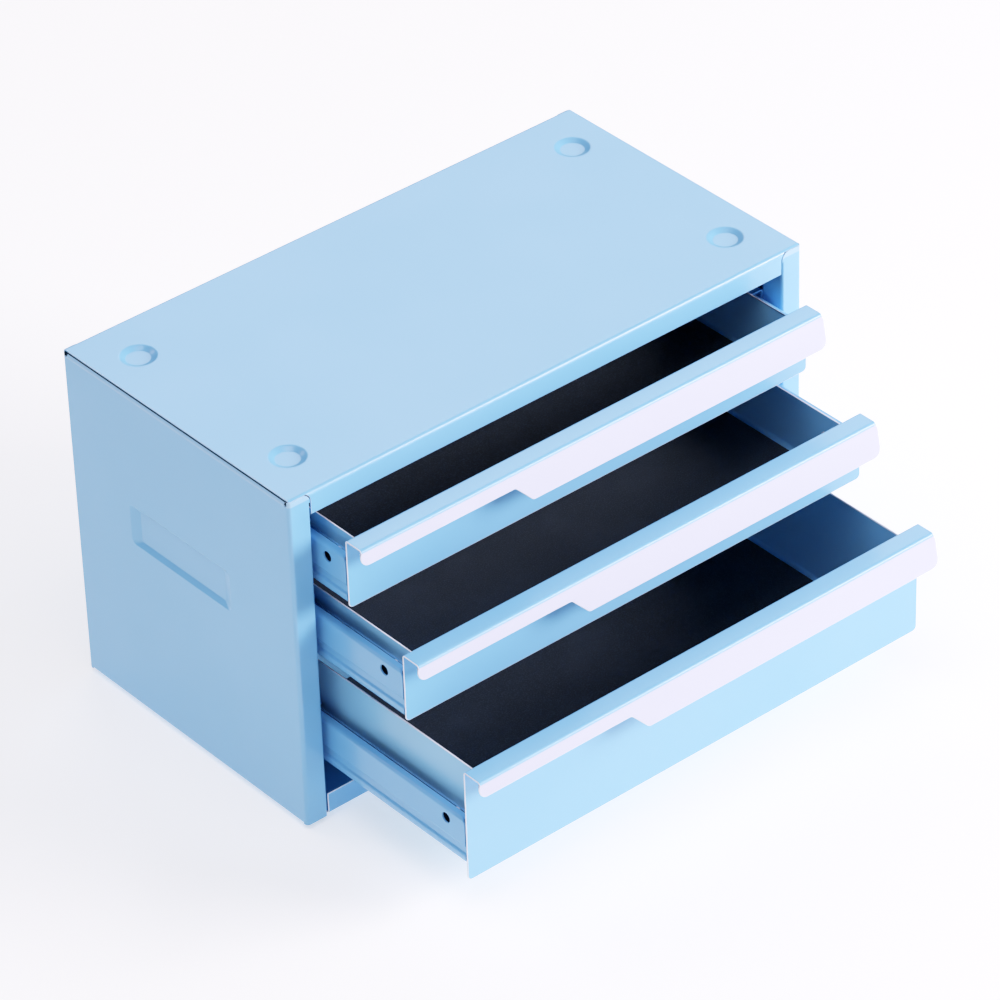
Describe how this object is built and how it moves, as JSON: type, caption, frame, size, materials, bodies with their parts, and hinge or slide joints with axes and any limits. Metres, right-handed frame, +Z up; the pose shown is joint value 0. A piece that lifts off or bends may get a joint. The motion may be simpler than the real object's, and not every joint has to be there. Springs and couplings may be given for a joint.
{
  "type": "portable drawer tool chest",
  "caption": "Low steel tool chest with full-width drawers on folded slides, stepped pull lips, lined trays, stacking recesses in its top and rubber feet.",
  "frame": {"origin": "on the floor plane under the middle of the cabinet, at the centre of the rectangle that its four feet make", "axes": "+X along the cabinet's width, towards its right side as seen from the front; +Y from the drawer fronts towards the back, so the drawers open along -Y; +Z up"},
  "size_m": [0.35, 0.3145, 0.2099],
  "materials": {
    "cabinet_paint": "satin powder coat, pale sky blue",
    "front_paint": "satin powder coat, pale sky blue",
    "tray_paint": "satin powder coat, pale blue",
    "slide_paint": "satin powder coat, pale blue",
    "liner_mat": "matt fine-grained foam rubber mat",
    "foot_rubber": "matt moulded rubber",
    "rivet_steel": "bright zinc plated"
  },
  "bodies": {
    "cabinet": {"top_panel": "cabinet_paint", "left_side_panel": "cabinet_paint", "right_side_panel": "cabinet_paint", "bottom_panel": "cabinet_paint", "back_panel": "cabinet_paint", "left_rear_bracket": "cabinet_paint", "right_rear_bracket": "cabinet_paint", "drawer_1_left_channel": "slide_paint", "drawer_1_right_channel": "slide_paint", "drawer_2_left_channel": "slide_paint", "drawer_2_right_channel": "slide_paint", "drawer_3_left_channel": "slide_paint", "drawer_3_right_channel": "slide_paint", "channel_rivets": "rivet_steel", "panel_rivets": "rivet_steel", "front_left_foot": "foot_rubber", "front_right_foot": "foot_rubber", "rear_left_foot": "foot_rubber", "rear_right_foot": "foot_rubber"},
    "drawer_1": {"drawer_1_front": "front_paint", "drawer_1_tray": "tray_paint", "drawer_1_liner": "liner_mat", "drawer_1_left_rail": "slide_paint", "drawer_1_right_rail": "slide_paint", "drawer_1_rail_rivets": "rivet_steel"},
    "drawer_2": {"drawer_2_front": "front_paint", "drawer_2_tray": "tray_paint", "drawer_2_liner": "liner_mat", "drawer_2_left_rail": "slide_paint", "drawer_2_right_rail": "slide_paint", "drawer_2_rail_rivets": "rivet_steel"},
    "drawer_3": {"drawer_3_front": "front_paint", "drawer_3_tray": "tray_paint", "drawer_3_liner": "liner_mat", "drawer_3_left_rail": "slide_paint", "drawer_3_right_rail": "slide_paint", "drawer_3_rail_rivets": "rivet_steel"}
  },
  "joints": [
    {"name": "drawer_1_slide", "type": "slide", "parent": "cabinet", "child": "drawer_1", "axis": [0, -1, 0], "range_m": [-0.023, 0.107]},
    {"name": "drawer_2_slide", "type": "slide", "parent": "cabinet", "child": "drawer_2", "axis": [0, -1, 0], "range_m": [-0.065, 0.065]},
    {"name": "drawer_3_slide", "type": "slide", "parent": "cabinet", "child": "drawer_3", "axis": [0, -1, 0], "range_m": [-0.11, 0.02]}
  ]
}
